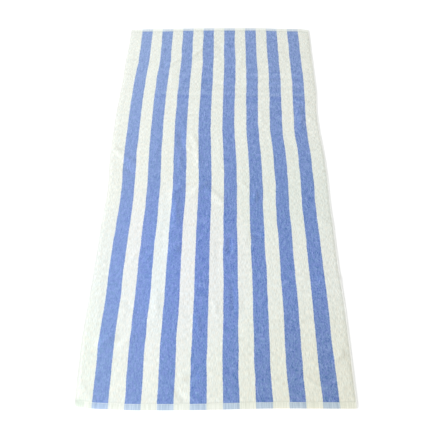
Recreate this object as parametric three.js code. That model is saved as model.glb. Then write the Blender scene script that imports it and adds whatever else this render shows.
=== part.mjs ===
// A striped terry bath towel, laid out flat: one woven cloth, hemmed along all four sides.
// Millimetres, +Z up. X runs across the towel and Y along it, and it lies on the plane Z = 0.
// The origin is under the middle of its outline.
//
// A point of the cloth is named by its place as woven: "across" from -WIDTH / 2 to WIDTH / 2 and
// "along" from -LENGTH / 2, the near end, to LENGTH / 2, the far end. LAY and ENDS say how the
// lying cloth is pulled out of that rectangle, and RIDGES say where it stands off the surface.
import * as THREE from "three";

const WIDTH = 760;
const LENGTH = 1520;

// The stripes run the whole length and are woven in, so both faces show them.
const STRIPES = 8;
const STRIPE_WIDE = 44.6;
const STRIPE_PITCH = 88;
const BLUE = new THREE.Color("#8098d0");
const IVORY = new THREE.Color("#eaeee7");
const HEM_BLUE = new THREE.Color("#c0d2e4");

// Thickness of the cloth at a distance in from an edge. Each hem is the cloth's own edge, turned
// under and stitched down: flat-woven and thin at the two ends, narrow and plain down the two
// sides. The flat-woven band shows a little deeper at the far end.
const END_HEM_DEEP = 16;
const FAR_BAND_DEEP = END_HEM_DEEP + 3;
const END_SECTION = [
  { inward: 0, thick: 1.2 },
  { inward: 2, thick: 2.4 },
  { inward: END_HEM_DEEP - 2, thick: 2.4 },
  { inward: END_HEM_DEEP, thick: 1.8 },
  { inward: END_HEM_DEEP + 3, thick: 3.2 },
];
const SIDE_HEM_WIDE = 6;
const SIDE_SECTION = [
  { inward: 0, thick: 1.8 },
  { inward: 2, thick: 2.6 },
  { inward: SIDE_HEM_WIDE, thick: 2.5 },
  { inward: SIDE_HEM_WIDE + 5, thick: 3.2 },
];
const CORNER_RADIUS = { nearLeft: 9, nearRight: 5, farLeft: 5, farRight: 10 };

// How far the lying cloth is pulled to +X: at its two side edges, at the outer stripes and in the
// middle, for stations along it from the far end to the near end.
const LAY = [
  { along: 760, leftEdge: 1, left: 1, middle: -3.5, right: -2.5, rightEdge: -4 },
  { along: 650, leftEdge: 0, left: 1.5, middle: -4.5, right: -2.5, rightEdge: -4 },
  { along: 560, leftEdge: -3.5, left: 1, middle: -3.5, right: -2.5, rightEdge: -4 },
  { along: 480, leftEdge: -4, left: -4.5, middle: -5, right: -1, rightEdge: -4 },
  { along: 400, leftEdge: -6, left: -7, middle: -7, right: -3, rightEdge: -4 },
  { along: 300, leftEdge: -10, left: -8, middle: -9, right: -7, rightEdge: -11 },
  { along: 200, leftEdge: -10, left: -8, middle: -9.5, right: -9.5, rightEdge: -10 },
  { along: 100, leftEdge: -10, left: -7.5, middle: -6, right: -4.5, rightEdge: -4.5 },
  { along: 30, leftEdge: -6.5, left: -5, middle: -3.5, right: -4.5, rightEdge: -2.5 },
  { along: -40, leftEdge: -1, left: -2, middle: -2.5, right: -4.5, rightEdge: -3 },
  { along: -110, leftEdge: -1, left: -0.5, middle: -3.5, right: -7, rightEdge: -4.5 },
  { along: -180, leftEdge: -4.5, left: -2, middle: -4.5, right: -5.5, rightEdge: -3 },
  { along: -250, leftEdge: -5, left: -4.5, middle: -4.5, right: -4, rightEdge: -3 },
  { along: -350, leftEdge: -6, left: -6.5, middle: -4.5, right: -3.5, rightEdge: -2.5 },
  { along: -460, leftEdge: -8, left: -6, middle: -4, right: -1.5, rightEdge: 1 },
  { along: -580, leftEdge: -11, left: -9.5, middle: -5.5, right: -1.5, rightEdge: 1 },
  { along: -660, leftEdge: -8.5, left: -7, middle: -5.5, right: -0.5, rightEdge: 0.5 },
  { along: -760, leftEdge: -4, left: -5, middle: -4, right: 2, rightEdge: 0 },
];
const OUTER_STRIPES = 330;

// How far each end bows outward, along its width. The bow fades out over END_FADE inward.
const ENDS = [
  { across: -380, near: 2, far: 1 },
  { across: -350, near: 6, far: 3 },
  { across: -300, near: 8.5, far: 6 },
  { across: -230, near: 10.5, far: 6 },
  { across: -150, near: 10, far: 10 },
  { across: -50, near: 8.5, far: 12 },
  { across: 50, near: 5, far: 12 },
  { across: 150, near: 2, far: 12 },
  { across: 250, near: 1, far: 8 },
  { across: 330, near: 0.5, far: 6 },
  { across: 380, near: 0, far: 1 },
];
const END_FADE = 300;

// Where the cloth stands off the surface: soft ridges, each from one place on it to another, with
// the height of its crest and the full width of its foot. The first four are the banks of two
// creases, one pair to a crease, left by folding the towel. The rest are puckers and small waves.
const RIDGES = [
  { x0: -225, y0: 402, x1: 345, y1: 402, high: 1.5, wide: 40 },
  { x0: -225, y0: 362, x1: 345, y1: 362, high: 1.5, wide: 40 },
  { x0: 115, y0: 495, x1: 345, y1: 495, high: 1.6, wide: 44 },
  { x0: 115, y0: 451, x1: 345, y1: 451, high: 1.6, wide: 44 },
  { x0: 320, y0: -382, x1: 376, y1: -385, high: 2, wide: 40 },
  { x0: -205, y0: 548, x1: -70, y1: 634, high: 1, wide: 40 },
  { x0: -366, y0: 118, x1: -297, y1: 56, high: 1.4, wide: 40 },
  { x0: -143, y0: -98, x1: -136, y1: -190, high: 1.4, wide: 42 },
  { x0: -40, y0: -52, x1: 18, y1: -112, high: 1.4, wide: 42 },
  { x0: -154, y0: -80, x1: -118, y1: -42, high: 1.6, wide: 40 },
  { x0: -80, y0: -68, x1: -42, y1: -34, high: 1.6, wide: 40 },
  { x0: -84, y0: 170, x1: -74, y1: 132, high: 1.4, wide: 40 },
  { x0: -72, y0: 104, x1: -66, y1: 56, high: 1.2, wide: 40 },
  { x0: -178, y0: -446, x1: -175, y1: -500, high: 1, wide: 40 },
  { x0: 302, y0: 360, x1: 334, y1: 341, high: 2, wide: 46 },
  { x0: 339, y0: -175, x1: 374, y1: -198, high: 0.9, wide: 42 },
  { x0: -325, y0: -589, x1: -290, y1: -570, high: 1.8, wide: 42 },
  { x0: -364, y0: -704, x1: -334, y1: -740, high: 0.8, wide: 42 },
];
const FOLD_BANKS = RIDGES.slice(0, 4);

// The grid of the cloth: a line across it about every ROW_STEP, and more at hems and fold banks.
const ROW_STEP = 35;

// The value of a column at a place in a table, on a smooth curve through its rows. The rows are
// in order of the key, going up or down.
function smoothValue(table, key, column, at) {
  const descending = table[0][key] > table[1][key];
  const rows = descending ? [...table].reverse() : table;
  const last = rows.length - 1;
  let i = 0;
  while (i < last - 1 && at > rows[i + 1][key]) i += 1;
  const span = rows[i + 1][key] - rows[i][key];
  const u = THREE.MathUtils.clamp((at - rows[i][key]) / span, 0, 1);
  const slopeAt = (j) => {
    const before = rows[Math.max(j - 1, 0)];
    const after = rows[Math.min(j + 1, last)];
    return (after[column] - before[column]) / (after[key] - before[key]);
  };
  const rise = rows[i + 1][column] - rows[i][column];
  const startBend = slopeAt(i) * span - rise;
  const endBend = rise - slopeAt(i + 1) * span;
  return rows[i][column] + rise * u + u * (1 - u) * (startBend * (1 - u) + endBend * u);
}

// The thickness that a hem's section gives at a distance in from its edge.
function sectionThickness(section, inward) {
  const i = section.findIndex((row) => row.inward > inward);
  if (i < 0) return section[section.length - 1].thick;
  const [outer, inner] = [section[i - 1], section[i]];
  const share = (inward - outer.inward) / (inner.inward - outer.inward);
  return THREE.MathUtils.lerp(outer.thick, inner.thick, share);
}

function thickness(across, along) {
  const side = sectionThickness(SIDE_SECTION, WIDTH / 2 - Math.abs(across));
  const end = sectionThickness(END_SECTION, LENGTH / 2 - Math.abs(along));
  return Math.min(side, end);
}

// How far the cloth stands off the surface. The foot of each ridge is a soft bell.
function standOff(across, along) {
  const place = new THREE.Vector3(across, along, 0);
  const onCrest = new THREE.Vector3();
  let highest = 0;
  for (const { x0, y0, x1, y1, high, wide } of RIDGES) {
    const crest = new THREE.Line3(new THREE.Vector3(x0, y0, 0), new THREE.Vector3(x1, y1, 0));
    crest.closestPointToPoint(place, true, onCrest);
    const away = Math.min(place.distanceTo(onCrest) / (wide / 2), 1);
    highest = Math.max(highest, (high * (1 + Math.cos(Math.PI * away))) / 2);
  }
  return highest;
}

// The sideways pull of the lying cloth: a parabola over the stripes, straight over the margins.
function sidePull(across, along) {
  const [leftEdge, left, middle, right, rightEdge] = [
    "leftEdge", "left", "middle", "right", "rightEdge",
  ].map((column) => smoothValue(LAY, "along", column, along));
  const u = THREE.MathUtils.clamp(across / OUTER_STRIPES, -1, 1);
  const overStripes = middle + (u * (right - left)) / 2 + u * u * ((left + right) / 2 - middle);
  const margin = (Math.abs(across) - OUTER_STRIPES) / (WIDTH / 2 - OUTER_STRIPES);
  const edge = across < 0 ? leftEdge : rightEdge;
  return margin > 0 ? THREE.MathUtils.lerp(overStripes, edge, margin) : overStripes;
}

// Rounds a corner: the square of side radius at the corner is drawn in to a quarter disc.
function roundCorner(across, along) {
  const end = along < 0 ? "near" : "far";
  const side = across < 0 ? "Left" : "Right";
  const radius = CORNER_RADIUS[end + side];
  const u = (Math.abs(across) - WIDTH / 2) / radius + 1;
  const v = (Math.abs(along) - LENGTH / 2) / radius + 1;
  if (u <= 0 || v <= 0) return [across, along];
  const drawIn = Math.max(u, v) / Math.hypot(u, v);
  return [
    Math.sign(across) * (WIDTH / 2 + (u * drawIn - 1) * radius),
    Math.sign(along) * (LENGTH / 2 + (v * drawIn - 1) * radius),
  ];
}

// Where a point of the cloth lies: its underside and its top, one above the other.
function lie(across, along) {
  const [s, t] = roundCorner(across, along);
  const inward = (LENGTH / 2 - Math.abs(t)) / END_FADE;
  const held = 1 - THREE.MathUtils.smoothstep(inward, 0, 1);
  const bow = smoothValue(ENDS, "across", t < 0 ? "near" : "far", s) * held;
  const x = s + sidePull(s, t);
  const y = t + Math.sign(t) * bow;
  const low = standOff(across, along);
  return {
    under: new THREE.Vector3(x, y, low),
    top: new THREE.Vector3(x, y, low + thickness(across, along)),
  };
}

// The borders of the stripes across the towel, and the middle of each stripe and gap.
function stripeLines() {
  const lines = [];
  for (let i = 0; i < STRIPES; i += 1) {
    const centre = (i - (STRIPES - 1) / 2) * STRIPE_PITCH;
    lines.push(centre - STRIPE_WIDE / 2, centre, centre + STRIPE_WIDE / 2);
    if (i < STRIPES - 1) lines.push(centre + STRIPE_PITCH / 2);
  }
  return lines;
}

function acrossLines() {
  const stripes = stripeLines();
  const innermost = SIDE_SECTION[SIDE_SECTION.length - 1].inward;
  const marginMiddle = (WIDTH / 2 - innermost - stripes[0]) / 2;
  const rightSide = SIDE_SECTION.map((row) => WIDTH / 2 - row.inward).concat(marginMiddle);
  return [...rightSide.map((at) => -at), ...stripes, ...rightSide].sort((a, b) => a - b);
}

function alongLines() {
  const banks = FOLD_BANKS.flatMap(({ y0, wide }) => [y0 - wide / 2, y0, y0 + wide / 2]);
  const folds = [...new Set(banks)];
  const farEnd = END_SECTION.map((row) => LENGTH / 2 - row.inward);
  const reach = farEnd[farEnd.length - 1];
  const rows = Math.round((2 * reach) / ROW_STEP);
  const even = [];
  for (let i = 1; i < rows; i += 1) {
    const at = -reach + (2 * reach * i) / rows;
    if (folds.every((fold) => Math.abs(fold - at) > ROW_STEP / 3)) even.push(at);
  }
  return [...farEnd.map((at) => -at), ...even, ...folds, ...farEnd].sort((a, b) => a - b);
}

// The colour woven at a place: blue or ivory, and pale where the loops stop at an end hem.
function wovenColour(across, along) {
  const outermost = ((STRIPES - 1) / 2) * STRIPE_PITCH + STRIPE_WIDE / 2;
  const fromFirst = across + outermost;
  const inStripes = Math.abs(across) < outermost;
  if (!inStripes || fromFirst % STRIPE_PITCH > STRIPE_WIDE) return IVORY;
  const bandDeep = along > 0 ? FAR_BAND_DEEP : END_HEM_DEEP;
  return Math.abs(along) > LENGTH / 2 - bandDeep ? HEM_BLUE : BLUE;
}

// The whole cloth as one closed surface: a top and an underside of cells, joined round the rim.
function clothGeometry() {
  const columns = acrossLines();
  const rows = alongLines();
  const points = rows.map((along) => columns.map((across) => lie(across, along)));
  const outline = new THREE.Box3().setFromPoints(points.flat().map((point) => point.top));
  const middle = outline.getCenter(new THREE.Vector3()).setZ(0);

  const positions = [];
  const colours = [];
  const addFace = (corners, colour) => {
    for (const corner of corners) {
      positions.push(...corner.clone().sub(middle));
      colours.push(...colour);
    }
  };
  const addCell = (a, b, c, d, colour) => {
    addFace([a, b, c], colour);
    addFace([a, c, d], colour);
  };
  const addRim = (from, to, colour) => addCell(from.under, to.under, to.top, from.top, colour);

  for (let j = 0; j < rows.length - 1; j += 1) {
    for (let i = 0; i < columns.length - 1; i += 1) {
      const across = (columns[i] + columns[i + 1]) / 2;
      const along = (rows[j] + rows[j + 1]) / 2;
      const colour = wovenColour(across, along);
      const [a, b] = [points[j][i], points[j][i + 1]];
      const [d, c] = [points[j + 1][i], points[j + 1][i + 1]];
      addCell(a.top, b.top, c.top, d.top, colour);
      addCell(d.under, c.under, b.under, a.under, colour);
      if (j === 0) addRim(a, b, colour);
      if (i === columns.length - 2) addRim(b, c, colour);
      if (j === rows.length - 2) addRim(c, d, colour);
      if (i === 0) addRim(d, a, colour);
    }
  }
  const geometry = new THREE.BufferGeometry();
  geometry.setAttribute("position", new THREE.Float32BufferAttribute(positions, 3));
  geometry.setAttribute("color", new THREE.Float32BufferAttribute(colours, 3));
  geometry.computeVertexNormals();
  return geometry;
}

const terry = new THREE.MeshStandardMaterial({ vertexColors: true, roughness: 1, metalness: 0 });
const towel = new THREE.Mesh(clothGeometry(), terry);
towel.name = "towel";

const group = new THREE.Group();
group.add(towel);
export default group;
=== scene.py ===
"""A striped terry bath towel laid out flat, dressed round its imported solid.

Sizes and places on the cloth are in millimetres, as in the part, and become metres where a mesh or
a shader is made. The floor, the lamps and the camera are in metres. "across" and "along" name a
place on the cloth as it was woven, from its middle. LAY, ENDS and RIDGES are the part's own
tables: they say how the cloth lies.
"""

import math

import bpy
import numpy as np
from mathutils import Matrix, Vector


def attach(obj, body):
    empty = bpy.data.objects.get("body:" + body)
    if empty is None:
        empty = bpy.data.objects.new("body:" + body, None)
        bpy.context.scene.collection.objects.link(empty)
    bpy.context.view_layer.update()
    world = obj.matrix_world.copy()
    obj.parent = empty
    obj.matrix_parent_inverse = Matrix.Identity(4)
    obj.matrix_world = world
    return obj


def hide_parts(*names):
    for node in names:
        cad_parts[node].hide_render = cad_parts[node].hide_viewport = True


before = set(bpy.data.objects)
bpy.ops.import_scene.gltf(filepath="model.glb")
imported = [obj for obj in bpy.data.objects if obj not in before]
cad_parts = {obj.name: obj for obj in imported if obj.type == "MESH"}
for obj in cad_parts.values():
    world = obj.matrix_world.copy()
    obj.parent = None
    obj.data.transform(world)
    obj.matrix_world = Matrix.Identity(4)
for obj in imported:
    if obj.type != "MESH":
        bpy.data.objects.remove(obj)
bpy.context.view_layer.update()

MM = 0.001

# ---- The cloth -----------------------------------------------------------------------------

WIDTH, LENGTH = 760.0, 1520.0
STRIPES, STRIPE_WIDE, STRIPE_PITCH = 8, 44.6, 88.0
END_HEM_DEEP, SIDE_HEM_WIDE = 16.0, 6.0
CORNER_RADIUS = {
    ("near", "left"): 9,
    ("near", "right"): 5,
    ("far", "left"): 5,
    ("far", "right"): 10,
}

# The flat weave ends with the hem at the near end, and reaches this far in at the far end.
FAR_WEAVE_DEEP = 19.0

# The "left" and "right" columns of LAY are for places this far from the middle.
OUTER_STRIPES = 330.0

# How far in from an end its bow has died out.
END_FADE = 300.0

# How far the lying cloth is pulled to +X, from its far end to its near end. A scratch script's
# least-squares fit to the photograph gave most of these values, which were rounded and typed in.
LAY_COLUMNS = ("along", "left_edge", "left", "middle", "right", "right_edge")
LAY = np.array([
    (760, 1, 1, -3.5, -2.5, -4),
    (650, 0, 1.5, -4.5, -2.5, -4),
    (560, -3.5, 1, -3.5, -2.5, -4),
    (480, -4, -4.5, -5, -1, -4),
    (400, -6, -7, -7, -3, -4),
    (300, -10, -8, -9, -7, -11),
    (200, -10, -8, -9.5, -9.5, -10),
    (100, -10, -7.5, -6, -4.5, -4.5),
    (30, -6.5, -5, -3.5, -4.5, -2.5),
    (-40, -1, -2, -2.5, -4.5, -3),
    (-110, -1, -0.5, -3.5, -7, -4.5),
    (-180, -4.5, -2, -4.5, -5.5, -3),
    (-250, -5, -4.5, -4.5, -4, -3),
    (-350, -6, -6.5, -4.5, -3.5, -2.5),
    (-460, -8, -6, -4, -1.5, 1),
    (-580, -11, -9.5, -5.5, -1.5, 1),
    (-660, -8.5, -7, -5.5, -0.5, 0.5),
    (-760, -4, -5, -4, 2, 0),
])

# How far each end bows outward, along its width, rounded from a measurement of the photograph.
ENDS_COLUMNS = ("across", "near", "far")
ENDS = np.array([
    (-380, 2, 1),
    (-350, 6, 3),
    (-300, 8.5, 6),
    (-230, 10.5, 6),
    (-150, 10, 10),
    (-50, 8.5, 12),
    (50, 5, 12),
    (150, 2, 12),
    (250, 1, 8),
    (330, 0.5, 6),
    (380, 0, 1),
])

# Where the cloth stands off the surface, in soft ridges from one place on it to another. The
# first two are the banks of one fold crease and the next two those of another.
RIDGES = np.array([
    # x0, y0, x1, y1, high, wide
    (-225, 402, 345, 402, 1.5, 40),
    (-225, 362, 345, 362, 1.5, 40),
    (115, 495, 345, 495, 1.6, 44),
    (115, 451, 345, 451, 1.6, 44),
    (320, -382, 376, -385, 2.0, 40),
    (-205, 548, -70, 634, 1.0, 40),
    (-366, 118, -297, 56, 1.4, 40),
    (-143, -98, -136, -190, 1.4, 42),
    (-40, -52, 18, -112, 1.4, 42),
    (-154, -80, -118, -42, 1.6, 40),
    (-80, -68, -42, -34, 1.6, 40),
    (-84, 170, -74, 132, 1.4, 40),
    (-72, 104, -66, 56, 1.2, 40),
    (-178, -446, -175, -500, 1.0, 40),
    (302, 360, 334, 341, 2.0, 46),
    (339, -175, 374, -198, 0.9, 42),
    (-325, -589, -290, -570, 1.8, 42),
    (-364, -704, -334, -740, 0.8, 42),
])

# Narrow creases, which bow to the left of their way by "bow". Where "high" is positive the cloth
# stands up in a small ridge, and where it is negative the pile is pressed in. Most places were
# picked by hand, and nine follow a scratch script's list of the photograph's creases. Another
# script worked out 44 of the 58 heights from how each crease shades there and in a render.
CREASES = np.array([
    # x0, y0, x1, y1, bow, high, wide
    (-212, 540, -160, 574, 0, 1.8, 28),
    (-121, 580, -65, 636, 0, 2.6, 26),
    (-238, 616, -236, 495, 0, 0.79, 24),
    (114, 473, 346, 473, 0, -0.76, 38),
    (-227, 381, 349, 381, 0, -0.17, 28),
    (62, 479, 101, 656, -6, 0.85, 26),
    (-3, 670, 23, 612, 0, -1.5, 40),
    (241, 624, 274, 552, 0, 0.58, 24),
    (-64, 436, 28, 436, 10, -3, 36),
    (-186, 502, -182, 446, 0, 0.7, 26),
    (-138, 288, -111, 190, 0, 0.68, 24),
    (-365, 117, -297, 55, -4, 0.21, 24),
    (-334, 39, -287, 7, 0, -2, 42),
    (-224, 65, -207, 156, 0, 0.95, 34),
    (-130, 200, -128, 122, 0, -2.2, 34),
    (-80, 168, -72, 134, 0, 0.41, 26),
    (-115, 139, -93, 113, 0, 1.1, 30),
    (-72, 104, -66, 54, 0, 0.43, 22),
    (-133, 112, -132, 18, 0, 1.1, 26),
    (7, 168, 7, 62, 0, 0.64, 18),
    (181, 210, 186, 124, 0, -0.22, 34),
    (256, 170, 274, 100, 0, -0.36, 26),
    (164, 306, 170, 230, 0, 1.15, 30),
    (309, 335, 311, 195, 0, 2.2, 38),
    (325, 292, 358, 248, 0, 1.3, 28),
    (302, 357, 332, 341, 0, 0.65, 26),
    (-80, -63, -43, -29, 0, 1.3, 28),
    (-40, -52, 20, -114, 8, 0.52, 22),
    (-141, -100, -134, -184, 0, 1.2, 26),
    (-154, -78, -122, -46, 0, 1.4, 24),
    (-269, -333, -206, -275, 12, 1.2, 26),
    (-222, -338, -193, -292, 6, 1.2, 26),
    (-173, -194, -174, -286, 0, -0.55, 28),
    (-155, -297, -117, -283, 0, 2.4, 36),
    (75, -20, 104, -52, 0, 0.85, 28),
    (95, -172, 84, -276, 9, 0.39, 30),
    (108, -236, 155, -236, 0, -3, 30),
    (7, -250, 4, -332, 0, -0.9, 34),
    (43, -244, 40, -300, 0, -2.4, 26),
    (339, -175, 372, -197, 0, 0.15, 24),
    (325, -382, 373, -386, 0, 0.15, 24),
    (121, -116, 133, -66, 0, 2.1, 28),
    (-64, -404, -27, -400, 0, 1.6, 24),
    (-66, -451, -24, -446, 0, 1.5, 22),
    (-178, -448, -175, -502, 0, 0.33, 22),
    (-58, -500, -47, -556, 0, 1.4, 24),
    (-272, -457, -211, -499, -8, -1, 26),
    (-353, -376, -344, -556, 0, 0.58, 34),
    (-326, -587, -294, -570, 0, 1.7, 28),
    (-276, -600, -226, -564, 0, 1.6, 30),
    (-362, -704, -332, -740, 0, 0.24, 26),
    (-5, -457, 2, -506, 0, 0.95, 26),
    (49, -398, 54, -506, 0, -1.4, 22),
    (87, -438, 84, -502, 0, -0.8, 28),
    (-112, -706, -75, -736, 0, -1.6, 30),
    (-80, -684, -43, -672, 0, -2.2, 28),
    (212, -661, 287, -709, 0, 0.98, 32),
    (326, -634, 361, -609, 0, 2.9, 28),
])

# The sheet's thickness at a distance in from an edge: rounded rim, hem, stitched groove, pile.
SECTION_COLUMNS = ("inward", "thick")
END_SECTION = np.array([
    (0, 0.9),
    (0.8, 1.7),
    (2.5, 2.3),
    (8, 2.4),
    (13, 2.3),
    (14.5, 1.9),
    (16, 2.2),
    (17, 2.9),
    (19.5, 3.2),
])
SIDE_SECTION = np.array([
    (0, 2.0),
    (0.3, 2.4),
    (1.0, 2.65),
    (2.5, 2.7),
    (5.0, 2.5),
    (6.0, 2.55),
    (8.5, 2.9),
    (11, 3.2),
])

# How far the pile takes to rise from a hem to its full height.
PILE_RISE = 6.0

# The least that the underside clears the surface.
UNDER_CLEAR = 0.1

# The side of one cell of the top's mesh.
CELL = 4.0

# Unevenness of the pile, of the hems and of the underside: how high, the width and the length of
# its lumps, and the seed of its noise.
RUMPLE = (0.13, 34, 60, 11)
BRUSHED_PILE = (0.05, 10, 30, 12)
PILE_LUMPS = (0.05, 8.5, 8.5, 13)
HEM_PUCKER = (0.12, 7, 7, 14)
UNDERSIDE = (0.10, 9, 9, 15)

# A crease is full this far either way from its middle, and gone this far, in shares of its length.
CREASE_FULL, CREASE_GONE = 0.25, 0.6

# Less than any real size: it keeps a division from 0 / 0 and a comparison from a rounding error.
TINY = 1e-9


def column(table, names, name):
    """One named column of a table."""
    return table[:, names.index(name)]


def smooth_value(keys, values, at):
    """Values of a table on a smooth curve through its rows, as the part works them out."""
    order = np.argsort(keys)
    keys, values = keys[order].astype(float), values[order].astype(float)
    last = len(keys) - 1
    i = np.clip(np.searchsorted(keys, at) - 1, 0, last - 1)
    before = np.maximum(np.arange(last + 1) - 1, 0)
    after = np.minimum(np.arange(last + 1) + 1, last)
    slope = (values[after] - values[before]) / (keys[after] - keys[before])
    span = keys[i + 1] - keys[i]
    u = np.clip((at - keys[i]) / span, 0, 1)
    rise = values[i + 1] - values[i]
    start_bend = slope[i] * span - rise
    end_bend = rise - slope[i + 1] * span
    return values[i] + rise * u + u * (1 - u) * (start_bend * (1 - u) + end_bend * u)


def smoothstep(at, low, high):
    """0 at low and below, 1 at high and above, with no kink at either."""
    u = np.clip((at - low) / (high - low), 0, 1)
    return u * u * (3 - 2 * u)


def side_pull(across, along):
    """How far the lie of the cloth has drawn a place sideways."""
    left_edge, left, middle, right, right_edge = (
        smooth_value(column(LAY, LAY_COLUMNS, "along"), column(LAY, LAY_COLUMNS, name), along)
        for name in LAY_COLUMNS[1:]
    )
    u = np.clip(across / OUTER_STRIPES, -1, 1)
    over_stripes = middle + u * (right - left) / 2 + u * u * ((left + right) / 2 - middle)
    margin = np.clip((abs(across) - OUTER_STRIPES) / (WIDTH / 2 - OUTER_STRIPES), 0, 1)
    edge = np.where(across < 0, left_edge, right_edge)
    return over_stripes + (edge - over_stripes) * margin


def round_corners(across, along):
    """Draws the square of side radius at each corner in to a quarter disc."""
    radius = np.where(
        along < 0,
        np.where(across < 0, CORNER_RADIUS["near", "left"], CORNER_RADIUS["near", "right"]),
        np.where(across < 0, CORNER_RADIUS["far", "left"], CORNER_RADIUS["far", "right"]),
    )
    u = (abs(across) - WIDTH / 2) / radius + 1
    v = (abs(along) - LENGTH / 2) / radius + 1
    inside = (u > 0) & (v > 0)
    draw_in = np.where(inside, np.maximum(u, v) / np.maximum(np.hypot(u, v), TINY), 1)
    s = np.where(inside, np.sign(across) * (WIDTH / 2 + (u * draw_in - 1) * radius), across)
    t = np.where(inside, np.sign(along) * (LENGTH / 2 + (v * draw_in - 1) * radius), along)
    return s, t


def plan(across, along):
    """Where a place on the cloth lies, seen from above, before its outline is centred."""
    s, t = round_corners(across, along)
    held = 1 - smoothstep((LENGTH / 2 - abs(t)) / END_FADE, 0, 1)
    keys = column(ENDS, ENDS_COLUMNS, "across")
    near = smooth_value(keys, column(ENDS, ENDS_COLUMNS, "near"), s)
    far = smooth_value(keys, column(ENDS, ENDS_COLUMNS, "far"), s)
    return s + side_pull(s, t), t + np.where(t < 0, -near, far) * held


def from_line(across, along, x0, y0, x1, y1):
    """Distance from a line between two places."""
    dx, dy = x1 - x0, y1 - y0
    share = np.clip(((across - x0) * dx + (along - y0) * dy) / (dx * dx + dy * dy), 0, 1)
    return np.hypot(across - x0 - share * dx, along - y0 - share * dy)


def bell(away):
    """1 in the middle, where away is 0, sinking smoothly to 0 where it is 1."""
    return (1 + np.cos(math.pi * away)) / 2


def stand_off(across, along):
    """How far the cloth stands off the surface, as in the part."""
    highest = np.zeros_like(across)
    for x0, y0, x1, y1, high, wide in RIDGES:
        away = np.minimum(from_line(across, along, x0, y0, x1, y1) / (wide / 2), 1)
        highest = np.maximum(highest, high * bell(away))
    return highest


def crease(across, along, x0, y0, x1, y1, bow, wide):
    """1 along the middle of a crease, falling to 0 at its sides and towards its ends."""
    long = math.hypot(x1 - x0, y1 - y0)
    ahead, left = ((x1 - x0) / long, (y1 - y0) / long), (-(y1 - y0) / long, (x1 - x0) / long)
    share = ((across - x0) * ahead[0] + (along - y0) * ahead[1]) / long
    share = np.clip(share, 0.5 - CREASE_GONE, 0.5 + CREASE_GONE)
    aside = (across - x0) * left[0] + (along - y0) * left[1] - 4 * bow * share * (1 - share)
    past_full = (abs(share - 0.5) - CREASE_FULL) / (CREASE_GONE - CREASE_FULL)
    return bell(np.minimum(abs(aside) / (wide / 2), 1)) * bell(np.clip(past_full, 0, 1))


def creased(across, along, raised):
    """How far the raised creases lift the cloth, or how far the others press its pile in."""
    total = np.zeros_like(across)
    for x0, y0, x1, y1, bow, high, wide in CREASES:
        if (high > 0) == raised:
            total += high * crease(across, along, x0, y0, x1, y1, bow, wide)
    return total


def thickness(across, along):
    """The sheet's thickness, the lesser of what its side and its end allow."""
    side = np.interp(WIDTH / 2 - abs(across), *SIDE_SECTION.T)
    end = np.interp(LENGTH / 2 - abs(along), *END_SECTION.T)
    return np.minimum(side, end)


def uneven(across, along, high, wide, long, seed):
    """Smooth noise from -high to high, its lumps about wide by long."""
    u, v = (across + WIDTH) / wide, (along + LENGTH) / long
    rows, columns = int(2 * LENGTH / long) + 3, int(2 * WIDTH / wide) + 3
    lattice = np.random.default_rng(seed).uniform(-1, 1, (rows, columns))
    i, j = np.floor(u).astype(int), np.floor(v).astype(int)
    a, b = smoothstep(u - i, 0, 1), smoothstep(v - j, 0, 1)
    before = lattice[j, i] * (1 - a) + lattice[j, i + 1] * a
    after = lattice[j + 1, i] * (1 - a) + lattice[j + 1, i + 1] * a
    return high * (before * (1 - b) + after * b)


def in_pile(across, along):
    """1 on the terry, falling to 0 on the hems."""
    from_side = WIDTH / 2 - abs(across) - SIDE_HEM_WIDE
    from_end = LENGTH / 2 - abs(along) - END_HEM_DEEP
    return smoothstep(np.minimum(from_side, from_end), 0, PILE_RISE)


def relief(across, along):
    """The uneven pile: rumples, brushed lumps and, on the hems, a slight pucker at the seam."""
    rumple = uneven(across, along, *RUMPLE)
    brushed = uneven(across, along, *BRUSHED_PILE)
    lumps = uneven(across, along, *PILE_LUMPS)
    pucker = uneven(across, along, *HEM_PUCKER)
    pile = in_pile(across, along)
    return pile * (rumple + brushed + lumps) + (1 - pile) * pucker


def faces_at(across, along):
    """Heights of the underside and of the top."""
    low = stand_off(across, along) + creased(across, along, raised=True)
    pressed = creased(across, along, raised=False) * in_pile(across, along)
    top = low + thickness(across, along) + relief(across, along) + pressed
    # The underside's unevenness only lifts it, so it never goes under its clearance.
    lift = UNDERSIDE[0] + uneven(across, along, *UNDERSIDE)
    under = low + UNDER_CLEAR + lift
    return under, top


def fine_lines(half, section):
    """Grid lines over a span of 2 * half: at each row of the edge's section, and every CELL inside.
    Their number is odd, so that every second one still reaches both edges."""
    edge = half - column(section, SECTION_COLUMNS, "inward")
    inner = edge[-1]
    cells = 2 * int(round(inner / CELL))
    inside = np.linspace(-inner, inner, cells + 1)[1:-1]
    return np.concatenate([-edge, inside, edge[::-1]])


def cloth_grid():
    """The places on the cloth that its top's mesh has a point at."""
    return np.meshgrid(fine_lines(WIDTH / 2, SIDE_SECTION), fine_lines(LENGTH / 2, END_SECTION))


def outline_centre():
    """The middle of the lying outline, which the frame's origin is under."""
    x, y = plan(*cloth_grid())
    return (x.min() + x.max()) / 2, (y.min() + y.max()) / 2


CENTRE = outline_centre()


def lie(across, along):
    """Where a place on the cloth lies in the frame, seen from above."""
    x, y = plan(across, along)
    return x - CENTRE[0], y - CENTRE[1]


# ---- The cloth's mesh ----------------------------------------------------------------------

# The bake's map holds the top and the underside side by side. Its own side is this long on the
# cloth, and the rim lies round the top in a band this wide.
BAKE_SPAN, BAKE_RIM = 1600.0, 4.0

# The middle of the top on that map, and how far to the right of it the underside's middle lies.
BAKE_MIDDLE, BAKE_SHIFT = (0.25, 0.5), 0.5


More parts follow.
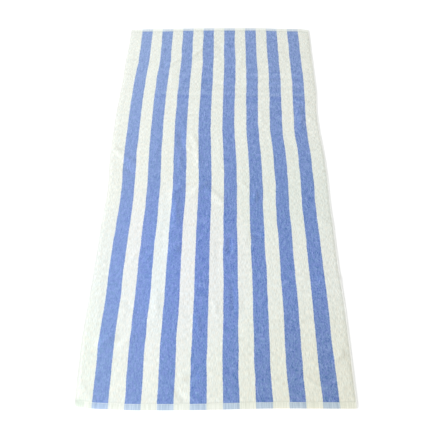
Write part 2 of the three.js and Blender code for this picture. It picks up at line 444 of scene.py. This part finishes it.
def smooth_mesh(name, points, faces):
    """A mesh with smooth shading."""
    mesh = bpy.data.meshes.new(name)
    mesh.from_pydata(points, [], faces)
    mesh.polygons.foreach_set("use_smooth", [True] * len(mesh.polygons))
    return mesh


def top_and_under(top, under):
    """A row for each place of the top's grid, then one for each of the underside's coarser grid."""
    columns = top.shape[-1]
    return np.concatenate([top.reshape(-1, columns), under[::2, ::2].reshape(-1, columns)])


def grid_faces(ids):
    """Four-sided faces between the points of a grid."""
    return np.stack([ids[:-1, :-1], ids[:-1, 1:], ids[1:, 1:], ids[1:, :-1]], -1).reshape(-1, 4)


def rim_faces(top_line, under_line):
    """Five-sided faces, each from one cell of the underside to two of the top."""
    return np.stack(
        [under_line[:-1], under_line[1:], top_line[2::2], top_line[1::2], top_line[:-2:2]], -1
    )


def sheet_faces(top_shape):
    """The faces of the top, of the underside and of the rim, which close the sheet together."""
    top_ids = np.arange(math.prod(top_shape)).reshape(top_shape)
    under_shape = [(lines + 1) // 2 for lines in top_shape]
    under_ids = top_ids.size + np.arange(math.prod(under_shape)).reshape(under_shape)
    rim = np.concatenate([
        rim_faces(top_ids[0], under_ids[0]),
        rim_faces(top_ids[:, -1], under_ids[:, -1]),
        rim_faces(top_ids[-1, ::-1], under_ids[-1, ::-1]),
        rim_faces(top_ids[::-1, 0], under_ids[::-1, 0]),
    ])
    return grid_faces(top_ids), grid_faces(under_ids)[:, ::-1], rim


def bake_places(points, places, vertex, is_under, in_rim):
    """Where each corner of a face lies on the bake's map."""
    at_edge = abs(places) > np.array([WIDTH, LENGTH]) / 2 - TINY
    outward = np.sign(places) * at_edge * BAKE_RIM
    corners = (points[:, :2] / BAKE_SPAN + BAKE_MIDDLE)[vertex]
    corners[is_under & ~in_rim, 0] += BAKE_SHIFT
    at_foot = is_under & in_rim
    corners[at_foot] += (outward / BAKE_SPAN)[vertex[at_foot]]
    return corners


def add_map(mesh, name, corners):
    """Gives a mesh a UV map, with a place for each corner of its faces."""
    layer = mesh.uv_layers.new(name=name)
    layer.uv.foreach_set("vector", corners.astype(np.float32).ravel())


def cloth_mesh():
    """One closed sheet: a fine top, an underside of every second line, and a rim between them.
    The map "woven" gives each place on the cloth, in metres."""
    across, along = cloth_grid()
    x, y = lie(across, along)
    under, top = faces_at(across, along)
    points = top_and_under(np.stack([x, y, top], -1), np.stack([x, y, under], -1))
    woven = np.stack([across, along], -1)
    places = top_and_under(woven, woven)
    top_faces, under_faces, rim = sheet_faces(top.shape)
    faces = [*top_faces.tolist(), *under_faces.tolist(), *rim.tolist()]
    mesh = smooth_mesh("terry_cloth", (points * MM).tolist(), faces)

    vertex = np.zeros(len(mesh.loops), np.int32)
    mesh.loops.foreach_get("vertex_index", vertex)
    is_under = vertex >= top.size
    in_rim = np.arange(len(vertex)) >= top_faces.size + under_faces.size
    add_map(mesh, "woven", (places * MM)[vertex])
    add_map(mesh, "OFBake", bake_places(points, places, vertex, is_under, in_rim))
    return mesh


# ---- Shader nodes --------------------------------------------------------------------------


class Value:
    """A number that a shader works out, which takes part in sums as other numbers do."""

    def __init__(self, nodes, socket):
        self.nodes, self.socket = nodes, socket

    def __add__(self, other):
        return self.nodes.math("ADD", self, other)

    def __sub__(self, other):
        return self.nodes.math("SUBTRACT", self, other)

    def __rsub__(self, other):
        return self.nodes.math("SUBTRACT", other, self)

    def __mul__(self, other):
        return self.nodes.math("MULTIPLY", self, other)

    def __truediv__(self, other):
        return self.nodes.math("DIVIDE", self, other)

    def __abs__(self):
        return self.nodes.math("ABSOLUTE", self)


class Nodes:
    """Short names for the shader nodes that the finishes are made of."""

    def __init__(self, owner):
        owner.use_nodes = True
        self.tree = owner.node_tree
        self.tree.nodes.clear()

    def add(self, kind, inputs=(), **settings):
        """A new node, with its inputs by name or by number and its settings by name."""
        node = self.tree.nodes.new(kind)
        for name, setting in settings.items():
            setattr(node, name, setting)
        for name, given in dict(inputs).items():
            self.feed(node.inputs[name], given)
        return node

    def feed(self, socket, given):
        """Links a socket to what another node gives, or sets it to a plain number or colour."""
        if isinstance(given, Value):
            given = given.socket
        if isinstance(given, bpy.types.NodeSocket):
            self.tree.links.new(given, socket)
        else:
            socket.default_value = given

    def math(self, operation, a, b=0.0):
        """What a Math node works out from one or two numbers."""
        node = self.add("ShaderNodeMath", {0: a, 1: b}, operation=operation)
        return Value(self, node.outputs[0])

    def scale(self, vector, by):
        """A vector or a colour, each of its three numbers times one of its own."""
        return self.add(
            "ShaderNodeVectorMath", {0: vector, 1: by}, operation="MULTIPLY"
        ).outputs[0]

    def noise(self, vector, detail, roughness):
        """Noise about 0.5, its lumps one unit of the vector wide."""
        inputs = {"Vector": vector, "Scale": 1.0, "Detail": detail, "Roughness": roughness}
        return Value(self, self.add("ShaderNodeTexNoise", inputs).outputs["Fac"])

    def mix(self, share, a, b):
        """A colour between a, where share is 0, and b, where it is 1."""
        # Inputs 6 and 7 are the node's two colours, and output 2 is their mix.
        node = self.add("ShaderNodeMix", {"Factor": share, 6: a, 7: b}, data_type="RGBA")
        return node.outputs[2]

    def tone(self, light, pair):
        """A colour between the shaded and the lit one of a pair."""
        return self.mix(light, colour(pair[0]), colour(pair[1]))

    def ramp(self, value, low, high):
        """0 at low and below, 1 at high and above."""
        inputs = {"Value": value, "From Min": low, "From Max": high, "To Min": 0.0, "To Max": 1.0}
        return Value(self, self.add("ShaderNodeMapRange", inputs, clamp=True).outputs["Result"])

    def contrast(self, noise, spread):
        """0 where a noise is this far under its middle of 0.5, and 1 where it is as far over it."""
        return self.ramp(noise, 0.5 - spread, 0.5 + spread)

    def within(self, distance, reach, blur):
        """1 up to a reach and 0 beyond it, blurred over some millimetres either way."""
        return self.ramp(distance, (reach + blur) * MM, (reach - blur) * MM)


def colour(code):
    """A colour of eight bits a channel, such as "8098d0", as linear light."""
    channels = [int(code[i : i + 2], 16) / 255 for i in (0, 2, 4)]
    linear = [c / 12.92 if c <= 0.04045 else ((c + 0.055) / 1.055) ** 2.4 for c in channels]
    return (*linear, 1.0)


# ---- The cloth's finish --------------------------------------------------------------------

# Noises over the cloth: lumps in a metre across and along, then the noise's detail and roughness.
NOISES = {
    "wander": (24, 13, 1.0, 0.5),
    "spill": (260, 200, 2.0, 0.7),
    "swirl": (17, 12, 1.0, 0.5),
    "strokes": (190, 36, 2.0, 0.8),
    "lumps": (160, 95, 3.0, 1.0),
    "fine_loops": (500, 160, 1.0, 0.6),
    "clumped_loops": (300, 80, 1.0, 0.6),
    "ivory_loops": (640, 74, 1.0, 0.6),
    "wales": (110, 7, 1.0, 0.5),
    "hue": (120, 70, 3.0, 0.9),
    "ribs": (420, 14, 2.0, 0.6),
}

# How blurred the borders are, either way: of a stripe, of the flat weave and of a side hem.
STRIPE_BLUR, WEAVE_BLUR, SIDE_HEM_BLUR = 0.4, 0.3, 0.5

# How far a stripe's border wanders slowly, and how far single loops spill over it, in all.
BORDER_WANDER, BORDER_SPILL = 5.0, 4.0

# The groove behind the flat weave, where shade is painted: how far past it, its half width and
# its blur.
GROOVE_PLACE, GROOVE_HALF, GROOVE_BLUR = 1.5, 2.25, 1.25

# The rims with painted light: how far each reaches in from its edge, its blur, and how pale it is.
RIGHT_RIM, RIGHT_RIM_BLUR = 4.0, 3.5
FAR_RIM, FAR_RIM_BLUR, FAR_RIM_SHARE = 10.0, 10.0, 0.75

# How far the slow swirl bends the strokes of the pile.
SWIRL_BEND = 45.0

# The blue loops are fine up to the first place along the cloth. From there they are more and more
# clumped towards the second, which lies well past the far end.
FINE_UP_TO, CLUMPED_AT = -600.0, 1800.0

# How much more ruffled the pile is for each metre along and across.
RUFFLE_ALONG, RUFFLE_ACROSS = 0.33, 0.40

# The shares of strokes, lumps, loops and wales in how light the blue and the ivory pile look, and
# in how high the pile stands.
BLUE_LEAN = (0.33, 0.27, 0.36, 0.04)
IVORY_LEAN = (0.21, 0.06, 0.63, 0.10)
HIGH_LEAN = (0.7, 0.5, 1.1, 0.2)

# How far either way from its middle a noise is at full shade or full light: of the loops' lean, of
# the pile's hue and of the flat weave's ribs.
LEAN_CONTRAST, HUE_CONTRAST, RIB_CONTRAST = 0.10, 0.12, 0.14

# Yarns as shaded and lit colours. The pile has two hues, a greener and a redder one.
BLUE_PILE = (("436dab", "91addb"), ("4765b2", "97a7e3"))
IVORY_PILE = (("d9ddd6", "f4f8f3"), ("deddd2", "f9f7ed"))
WEAVE_BLUE = ("adbfd6", "cbd9ea")
WEAVE_IVORY = ("e3e5da", "f4f5ed")
SIDE_HEM = ("e7e6e1", "f1f0eb")
THREAD = ("dfe2d8", "f2f3ea")
PAINTED_SHEEN_BLUE, RIM_PAINTED_LIGHT = "d4e6f6", "fafaf7"

# A painted sheen, a pale veil of light over the blue, grows on the left and towards the far right
# corner: where it begins, where it is full, and its share there. Towards the corner it is measured
# along, plus this share of across.
LEFT_PAINTED_SHEEN = (-50, -330, 0.10)
CORNER_PAINTED_SHEEN = (-200, 850, 0.11)
CORNER_SLANT = 0.25

# Painted shade in the groove behind the flat weave: the shares of red, green and blue that the
# ivory pile keeps there.
GROOVE_PAINTED_SHADE = (0.93, 0.935, 0.93)

# How high the hems' ribs stand as a share of the pile, and the bump's strength and depth.
RIBS_HIGH, BUMP_STRENGTH, BUMP_DEEP = 0.5, 0.64, 0.7

# Soft ovals over both yarns paint light and shade: most lighten or darken broad parts of the
# cloth, and small ones darken the near-left corner with painted shade. Each was set to close a
# measured difference from the photograph.
PAINTED_LIGHT_PATCHES = (
    # (across, along, half its width, half its length), (red, green, blue) of its tint
    ((-160, -340, 300, 340), (1.0, 0.985, 1.06)),
    ((-176, -320, 60, 280), (0.98, 1.025, 1.02)),
    ((350, -820, 420, 400), (0.97, 0.945, 0.88)),
    ((-380, -460, 160, 420), (0.97, 1.0, 0.985)),
    ((-366, -749, 19, 15), (0.87, 0.93, 0.90)),
    ((240, -60, 300, 240), (0.965, 0.985, 0.98)),
    ((400, 500, 220, 460), (1.035, 1.025, 1.015)),
    ((0, -600, 420, 450), (0.988, 1.0, 1.0)),
    ((-308, -752, 30, 15), (0.88, 0.92, 1.03)),
    ((240, -763, 170, 8), (1.10, 1.05, 1.0)),
)

# Painted light and shade: lines across the blue pile, lighter or darker, that stand in for the
# shading of creases which this light does not give. They were set as the ovals were.
PAINTED_CREASE_SHADING = (
    # (across, along, half its width, half its length), (red, green, blue) of its tint
    ((-132, 493, 60, 11), (1.09, 1.07, 1.04)),
    ((175, 489, 105, 11), (1.15, 1.11, 1.05)),
    ((240, 499, 60, 8), (0.86, 0.90, 0.97)),
    ((310, 461, 50, 10), (0.84, 0.88, 0.95)),
    ((250, 429, 100, 11), (1.14, 1.11, 1.05)),
    ((-60, 391, 220, 12), (1.16, 1.12, 1.04)),
    ((240, 382, 220, 12), (1.16, 1.12, 1.05)),
    ((-100, 371, 220, 12), (0.84, 0.88, 0.97)),
    ((220, 363, 200, 13), (0.84, 0.88, 0.97)),
    ((131, -228, 40, 9), (1.05, 1.04, 1.02)),
    ((131, -243, 40, 9), (0.95, 0.96, 0.98)),
    ((-136, -282, 40, 10), (1.08, 1.06, 1.03)),
    ((-136, -299, 40, 10), (0.92, 0.94, 0.97)),
    ((-45, -396, 40, 8), (0.92, 0.94, 0.97)),
    ((-45, -409, 40, 8), (1.08, 1.06, 1.03)),
    ((-45, -442, 40, 8), (0.93, 0.95, 0.97)),
    ((-45, -455, 40, 8), (1.07, 1.05, 1.03)),
    ((0, -380, 500, 10), (1.03, 1.03, 1.02)),
    ((0, -661, 500, 14), (0.94, 0.95, 0.97)),
)


class ClothNodes(Nodes):
    """Shader nodes that know their place on the cloth, in metres."""

    def __init__(self, material):
        super().__init__(material)
        self.woven = self.add("ShaderNodeUVMap", uv_map="woven").outputs["UV"]
        split = self.add("ShaderNodeSeparateXYZ", {"Vector": self.woven})
        self.across, self.along = Value(self, split.outputs["X"]), Value(self, split.outputs["Y"])

    def cloth_noise(self, name, at=None):
        """One of the NOISES, over the cloth or over places that have been moved."""
        across, along, detail, roughness = NOISES[name]
        vector = self.woven if at is None else at
        return self.noise(self.scale(vector, (across, along, 1)), detail, roughness)

    def patch(self, across, along, half_wide, half_long):
        """1 at a place on the cloth, fading to 0 on an oval around it."""
        side = (self.across - across * MM) / (half_wide * MM)
        end = (self.along - along * MM) / (half_long * MM)
        return self.ramp(side * side + end * end, 1.0, 0.0)

    def tinted(self, shade, patches):
        """A colour with the tints of some patches over it."""
        for place, tint in patches:
            shade = self.mix(self.patch(*place), shade, self.scale(shade, tint))
        return shade

    def fade(self, at, begin, full, share):
        """0 where a painted sheen begins, and its share where it is full."""
        return self.ramp(at, begin * MM, full * MM) * share


def hem_shares(n):
    """1 on the flat weave of an end, on a side hem and in the painted shade of the groove behind
    it.
    """
    at_far_half = n.math("GREATER_THAN", n.along, 0.0)
    deep = at_far_half * ((FAR_WEAVE_DEEP - END_HEM_DEEP) * MM) + END_HEM_DEEP * MM
    past_weave = (LENGTH / 2 * MM - abs(n.along)) - deep
    flat_weave = n.within(past_weave, 0.0, WEAVE_BLUR)
    side_hem = n.within(WIDTH / 2 * MM - abs(n.across), SIDE_HEM_WIDE, SIDE_HEM_BLUR)
    groove_shade = n.within(abs(past_weave - GROOVE_PLACE * MM), GROOVE_HALF, GROOVE_BLUR)
    return flat_weave, side_hem, groove_shade


def rim_light_share(n):
    """1 where light is painted on the rims: the one on the right and the one at the far end."""
    right = n.within(WIDTH / 2 * MM - n.across, RIGHT_RIM, RIGHT_RIM_BLUR)
    far = n.within(LENGTH / 2 * MM - n.along, FAR_RIM, FAR_RIM_BLUR)
    return n.math("MAXIMUM", right, far * FAR_RIM_SHARE)


def stripe_share(n, flat_weave):
    """1 on a blue stripe. Its border wanders and loops spill over it, but not on the flat weave."""
    wander = (n.cloth_noise("wander") - 0.5) * (BORDER_WANDER * MM)
    spill = (n.cloth_noise("spill") - 0.5) * (BORDER_SPILL * MM)
    shifted = n.across + (wander + spill) * (1.0 - flat_weave)
    half_pitch = STRIPE_PITCH / 2 * MM
    off_centre = n.math("PINGPONG", shifted - half_pitch, half_pitch)
    in_field = n.math("LESS_THAN", abs(n.across), STRIPES / 2 * STRIPE_PITCH * MM)
    return n.within(off_centre, STRIPE_WIDE / 2, STRIPE_BLUR) * in_field


def pile_noises(n, blue_share):
    """The uneven pile: strokes of loops that lean one way and bend with a slow swirl, lumps, single
    loops, and wales along the cloth."""
    bent = n.across + n.cloth_noise("swirl") * (SWIRL_BEND * MM)
    stroke_place = n.add("ShaderNodeCombineXYZ", {"X": bent, "Y": n.along}).outputs[0]
    clumped = n.ramp(n.along, FINE_UP_TO * MM, CLUMPED_AT * MM)
    fine = n.cloth_noise("fine_loops") * (1.0 - clumped)
    blue_loops = n.cloth_noise("clumped_loops") * clumped + fine
    loops = blue_loops * blue_share + n.cloth_noise("ivory_loops") * (1.0 - blue_share)
    strokes = n.cloth_noise("strokes", stroke_place)
    return strokes, n.cloth_noise("lumps"), loops, n.cloth_noise("wales")


def added_up(noises, shares):
    """Some noises added up, each with its share."""
    total = noises[0] * shares[0]
    for noise, share in zip(noises[1:], shares[1:]):
        total = total + noise * share
    return total


def pile_colour(n, noises, blue_share, groove_shade):
    """The blue and the ivory pile. Where more of its loops lean one way, it looks lighter."""
    # The pile is more ruffled towards the far end and the right side.
    ruffle = n.along * RUFFLE_ALONG + n.across * RUFFLE_ACROSS + 1.0
    hue = n.contrast(n.cloth_noise("hue"), HUE_CONTRAST)

    def yarn(shares, hues):
        lean = (added_up(noises, shares) - 0.5) * ruffle
        light = n.ramp(lean, -LEAN_CONTRAST, LEAN_CONTRAST)
        return n.mix(hue, n.tone(light, hues[0]), n.tone(light, hues[1]))

    # Painted sheen: the blue is paled on the left and towards the far right corner.
    to_corner = n.along + n.across * CORNER_SLANT
    sheen_share = n.fade(n.across, *LEFT_PAINTED_SHEEN) + n.fade(to_corner, *CORNER_PAINTED_SHEEN)
    blue = n.mix(sheen_share, yarn(BLUE_LEAN, BLUE_PILE), colour(PAINTED_SHEEN_BLUE))
    # Painted crease shading: lighter and darker lines across the blue pile.
    blue = n.tinted(blue, PAINTED_CREASE_SHADING)
    ivory = yarn(IVORY_LEAN, IVORY_PILE)
    # Painted shade in the groove behind the flat weave.
    ivory = n.mix(groove_shade, ivory, n.scale(ivory, GROOVE_PAINTED_SHADE))
    return n.mix(blue_share, ivory, blue)


def terry_finish():
    """Loop pile of cotton yarn, dyed blue or left ivory, with flat hems."""
    material = bpy.data.materials.new("terry")
    n = ClothNodes(material)
    flat_weave, side_hem, groove_shade = hem_shares(n)
    blue_share = stripe_share(n, flat_weave)
    noises = pile_noises(n, blue_share)
    ribs = n.cloth_noise("ribs")

    pile = pile_colour(n, noises, blue_share, groove_shade)
    rib_light = n.contrast(ribs, RIB_CONTRAST)
    weave = n.mix(blue_share, n.tone(rib_light, WEAVE_IVORY), n.tone(rib_light, WEAVE_BLUE))
    shade = n.mix(side_hem, n.mix(flat_weave, pile, weave), n.tone(rib_light, SIDE_HEM))
    # Painted light and shade in soft ovals over both yarns.
    shade = n.tinted(shade, PAINTED_LIGHT_PATCHES)
    # Painted light on the right and far rims.
    shade = n.mix(rim_light_share(n), shade, colour(RIM_PAINTED_LIGHT))

    any_hem = n.math("MAXIMUM", flat_weave, side_hem)
    high = added_up(noises, HIGH_LEAN) * (1.0 - any_hem) + ribs * any_hem * RIBS_HIGH
    bump = n.add("ShaderNodeBump", {
        "Height": high,
        "Strength": BUMP_STRENGTH,
        "Distance": BUMP_DEEP * MM,
    })
    shader = n.add("ShaderNodeBsdfPrincipled", {
        "Base Color": shade,
        "Roughness": 0.95,
        "Specular IOR Level": 0.2,
        "Sheen Weight": 0.15,
        "Sheen Roughness": 0.6,
        "Normal": bump.outputs["Normal"],
    })
    n.add("ShaderNodeOutputMaterial", {"Surface": shader.outputs[0]})
    return material


# ---- Sewing --------------------------------------------------------------------------------

STITCH_LONG, STITCH_GAP, THREAD_THICK = 2.7, 0.6, 0.55

# How far in from an end or from a side a seam runs, and how far before the next edge it stops.
SEAM_FROM_END, SEAM_FROM_SIDE, SEAM_STOP = 14.5, 5.0, 4.0

# A stitch is a row of rings of points.
STITCH_RINGS = np.array([
    # how far from its middle, as a share of its length, and how thick, as a share of the thread
    (-0.5, 0.0),
    (-0.38, 0.75),
    (0.0, 1.0),
    (0.38, 0.75),
    (0.5, 0.0),
])

# How many sides a ring has, and what is added to its radius, so that the tips don't close.
STITCH_SIDES, STITCH_TIP = 6, 0.02

# How far up from the cloth's two faces a stitch's middle lies, in shares of the thread.
LIFT_ON_TOP, LIFT_UNDER = 0.25, 0.2

# The thread's twists in a metre, and how far from middle grey their shade and light are full.
THREAD_TWISTS, TWIST_CONTRAST = 1800, 0.15


def thread_finish():
    """Spun cotton sewing thread."""
    material = bpy.data.materials.new("thread")
    n = Nodes(material)
    at = n.add("ShaderNodeTexCoord").outputs["Object"]
    twist = n.noise(n.scale(at, (THREAD_TWISTS,) * 3), 1.0, 0.5)
    shader = n.add("ShaderNodeBsdfPrincipled", {
        "Base Color": n.tone(n.contrast(twist, TWIST_CONTRAST), THREAD),
        "Roughness": 0.7,
        "Specular IOR Level": 0.3,
    })
    n.add("ShaderNodeOutputMaterial", {"Surface": shader.outputs[0]})
    return material


def seams():
    """The two places that each seam runs between, for the end hems and for the side hems."""
    at_end, at_side = LENGTH / 2 - SEAM_FROM_END, WIDTH / 2 - SEAM_FROM_SIDE
    half_end, half_side = WIDTH / 2 - SEAM_STOP, LENGTH / 2 - SEAM_STOP
    return {
        "end": [((-half_end, at), (half_end, at)) for at in (-at_end, at_end)],
        "side": [((at, -half_side), (at, half_side)) for at in (-at_side, at_side)],
    }


def stitch_row(start, stop):
    """Both ends of every stitch on a seam, as places on the cloth."""
    start, stop = np.array(start, float), np.array(stop, float)
    length = np.linalg.norm(stop - start)
    count = int(length / (STITCH_LONG + STITCH_GAP))
    step = (stop - start) / count
    heads = start + step * np.arange(count)[:, None]
    return heads, heads + step * STITCH_LONG / (STITCH_LONG + STITCH_GAP)


def on_cloth(places, top):
    """Points on the top or the underside of the cloth."""
    across, along = places.T
    x, y = lie(across, along)
    z = faces_at(across, along)[1 if top else 0]
    return np.stack([x, y, z], -1)


def stitch_points(seam, top, lift):
    """The points of every stitch on one face of a seam, by stitch, by ring and by side."""
    heads, tails = (on_cloth(places, top) for places in stitch_row(*seam))
    axis = tails - heads
    length = np.linalg.norm(axis, axis=1, keepdims=True)
    forward = axis / length
    sideways = np.cross(forward, (0.0, 0.0, 1.0))
    upward = np.cross(sideways, forward)
    middle = (heads + tails) / 2 + (0, 0, lift * THREAD_THICK)
    place, thick = STITCH_RINGS[:, :1], STITCH_RINGS[:, 1:]
    angle = 2 * math.pi * np.arange(STITCH_SIDES)[:, None] / STITCH_SIDES
    rings = middle[:, None] + forward[:, None] * place * length[:, None]
    spokes = sideways[:, None] * np.cos(angle) + upward[:, None] * np.sin(angle)
    radius = thick * THREAD_THICK / 2 + STITCH_TIP
    return rings[:, :, None] + spokes[:, None] * radius[:, :, None]


def stitch_faces():
    """The faces of one stitch, by the numbers of its points: bands between its rings, two caps."""
    last_ring = (len(STITCH_RINGS) - 1) * STITCH_SIDES
    faces = []
    for ring in range(0, last_ring, STITCH_SIDES):
        for side in range(STITCH_SIDES):
            p, q = ring + side, ring + (side + 1) % STITCH_SIDES
            faces.append((p, q, q + STITCH_SIDES, p + STITCH_SIDES))
    faces.append(tuple(reversed(range(STITCH_SIDES))))
    faces.append(tuple(range(last_ring, last_ring + STITCH_SIDES)))
    return faces


def stitch_mesh(name, lines):
    """Every stitch of some seams, on both faces, each a short tapered length of thread."""
    stitches = np.concatenate([
        stitch_points(seam, top, lift)
        for top, lift in ((True, LIFT_ON_TOP), (False, LIFT_UNDER))
        for seam in lines
    ])
    points = stitches.reshape(-1, 3) * MM
    per_stitch = len(STITCH_RINGS) * STITCH_SIDES
    faces = [
        [first + point for point in face]
        for first in range(0, len(points), per_stitch)
        for face in stitch_faces()
    ]
    return smooth_mesh(name, points.tolist(), faces)


# ---- Pieces --------------------------------------------------------------------------------


def add_object(name, data):
    """A new object in the scene."""
    added = bpy.data.objects.new(name, data)
    bpy.context.scene.collection.objects.link(added)
    return added


def add_piece(name, mesh, material):
    """A piece of the towel. It rides on the towel's one body and takes the finish it is given."""
    piece = add_object(name, mesh)
    mesh.materials.append(material)
    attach(piece, "root")
    return piece


cloth = add_piece("terry_cloth", cloth_mesh(), terry_finish())
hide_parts("towel")
thread = thread_finish()
stitching = [
    add_piece(f"{edge}_hem_stitches", stitch_mesh(f"{edge}_hem_stitches", lines), thread)
    for edge, lines in seams().items()
]

# ---- Floor, light and camera ----------------------------------------------------------------

FLOOR_SIDE = 16.0

# A glow that only the camera sees keeps the floor white. The lamps reach less far out, so the glow
# grows between these two distances from the middle, from the first strength to the second.
GLOW_GROWS_FROM, GLOW_GROWS_TO = 1.1, 2.6
GLOW_MIDDLE, GLOW_FAR = 0.4, 1.0

# An even light from the room, and a white just past full where the camera sees past the floor.
ROOM_STRENGTH, ROOM_TINT = 0.496, (0.996, 1.0, 0.898)
WHITE_STRENGTH = 1.1

# The lamps' places were chosen. Their powers and tints, and the room's light, came from a scratch
# script's least-squares solve against the photograph's colours.
LAMPS = (
    # name, place, aim, side, power in watts, tint
    ("left_window", (-4.5, 0.0, 1.42), (0.0, 0.0, 0.0), 2.4, 129, (0.918, 0.943, 1.0)),
    ("near_window", (-1.9, -2.6, 1.15), (0.0, -0.1, 0.0), 1.6, 56.3, (0.926, 0.943, 1.0)),
    ("far_window", (-2.4, 1.7, 1.35), (0.0, 0.2, 0.0), 1.8, 21.6, (0.872, 0.993, 1.0)),
    ("skylight", (-0.3, 0.3, 2.6), (0.0, 0.0, 0.0), 2.0, 16.7, (0.807, 0.83, 1.0)),
)

# The camera stands at the towel's near end, at a standing person's eye height, as a perspective fit
# to the photograph gave it. As plan's places are, its own is measured before the outline is
# centred. The sensor and the lens are in millimetres.
CAMERA_PLACE = (0.0136, -1.0157, 1.4232)
CAMERA_DOWN, CAMERA_TURN, CAMERA_ROLL = math.radians(58.89), math.radians(1.62), math.radians(1.08)
CAMERA_SENSOR, CAMERA_LENS = 36.0, 42.1
CAMERA_NEAREST, CAMERA_FARTHEST = 0.05, 50


def make_floor():
    """A plain white floor that shows white to the camera and keeps the towel's shadow."""
    half = FLOOR_SIDE / 2
    mesh = bpy.data.meshes.new("floor")
    corners = [(-half, -half, 0), (half, -half, 0), (half, half, 0), (-half, half, 0)]
    mesh.from_pydata(corners, [], [(0, 1, 2, 3)])
    floor = add_object("floor", mesh)
    material = bpy.data.materials.new("floor")
    n = Nodes(material)
    seen = Value(n, n.add("ShaderNodeLightPath").outputs["Is Camera Ray"])
    matte = n.add("ShaderNodeBsdfDiffuse", {"Color": (0.8, 0.8, 0.8, 1)})
    place = n.add("ShaderNodeTexCoord").outputs["Object"]
    away = n.add("ShaderNodeVectorMath", {0: place}, operation="LENGTH").outputs["Value"]
    growth = n.ramp(away, GLOW_GROWS_FROM, GLOW_GROWS_TO)
    fill = growth * (GLOW_FAR - GLOW_MIDDLE) + GLOW_MIDDLE
    glow = n.add("ShaderNodeEmission", {"Color": (1, 1, 1, 1), "Strength": seen * fill})
    both = n.add("ShaderNodeAddShader", {0: matte.outputs[0], 1: glow.outputs[0]})
    n.add("ShaderNodeOutputMaterial", {"Surface": both.outputs[0]})
    mesh.materials.append(material)


def make_world():
    """An even room light, and plain white where the camera sees past the floor."""
    world = bpy.data.worlds.new("room")
    bpy.context.scene.world = world
    n = Nodes(world)
    seen = n.add("ShaderNodeLightPath").outputs["Is Camera Ray"]
    room = n.add("ShaderNodeBackground", {"Color": (*ROOM_TINT, 1), "Strength": ROOM_STRENGTH})
    white = n.add("ShaderNodeBackground", {"Color": (1, 1, 1, 1), "Strength": WHITE_STRENGTH})
    either = n.add("ShaderNodeMixShader", {0: seen, 1: room.outputs[0], 2: white.outputs[0]})
    n.add("ShaderNodeOutputWorld", {"Surface": either.outputs[0]})


def make_lamp(name, place, aim, side, power, tint):
    """A soft square lamp."""
    data = bpy.data.lights.new(name, "AREA")
    data.size, data.energy, data.color = side, power, tint
    lamp = add_object(name, data)
    lamp.location = place
    toward = Vector(aim) - lamp.location
    lamp.rotation_mode = "QUATERNION"
    lamp.rotation_quaternion = toward.to_track_quat("-Z", "Y")


def make_camera():
    """The camera, looking down at the towel with a slight turn and roll."""
    data = bpy.data.cameras.new("camera")
    data.sensor_width, data.lens = CAMERA_SENSOR, CAMERA_LENS
    data.clip_start, data.clip_end = CAMERA_NEAREST, CAMERA_FARTHEST
    camera = add_object("camera", data)
    turn = Matrix.Rotation(CAMERA_TURN, 4, "Z")
    tilt = Matrix.Rotation(math.pi / 2 - CAMERA_DOWN, 4, "X")
    roll = Matrix.Rotation(-CAMERA_ROLL, 4, "Z")
    place = Matrix.Translation(Vector(CAMERA_PLACE) - Vector((*CENTRE, 0.0)) * MM)
    camera.matrix_world = place @ turn @ tilt @ roll
    bpy.context.scene.camera = camera


make_camera()
make_floor()
make_world()
for lamp_row in LAMPS:
    make_lamp(*lamp_row)
bpy.context.scene.view_settings.view_transform = "Standard"
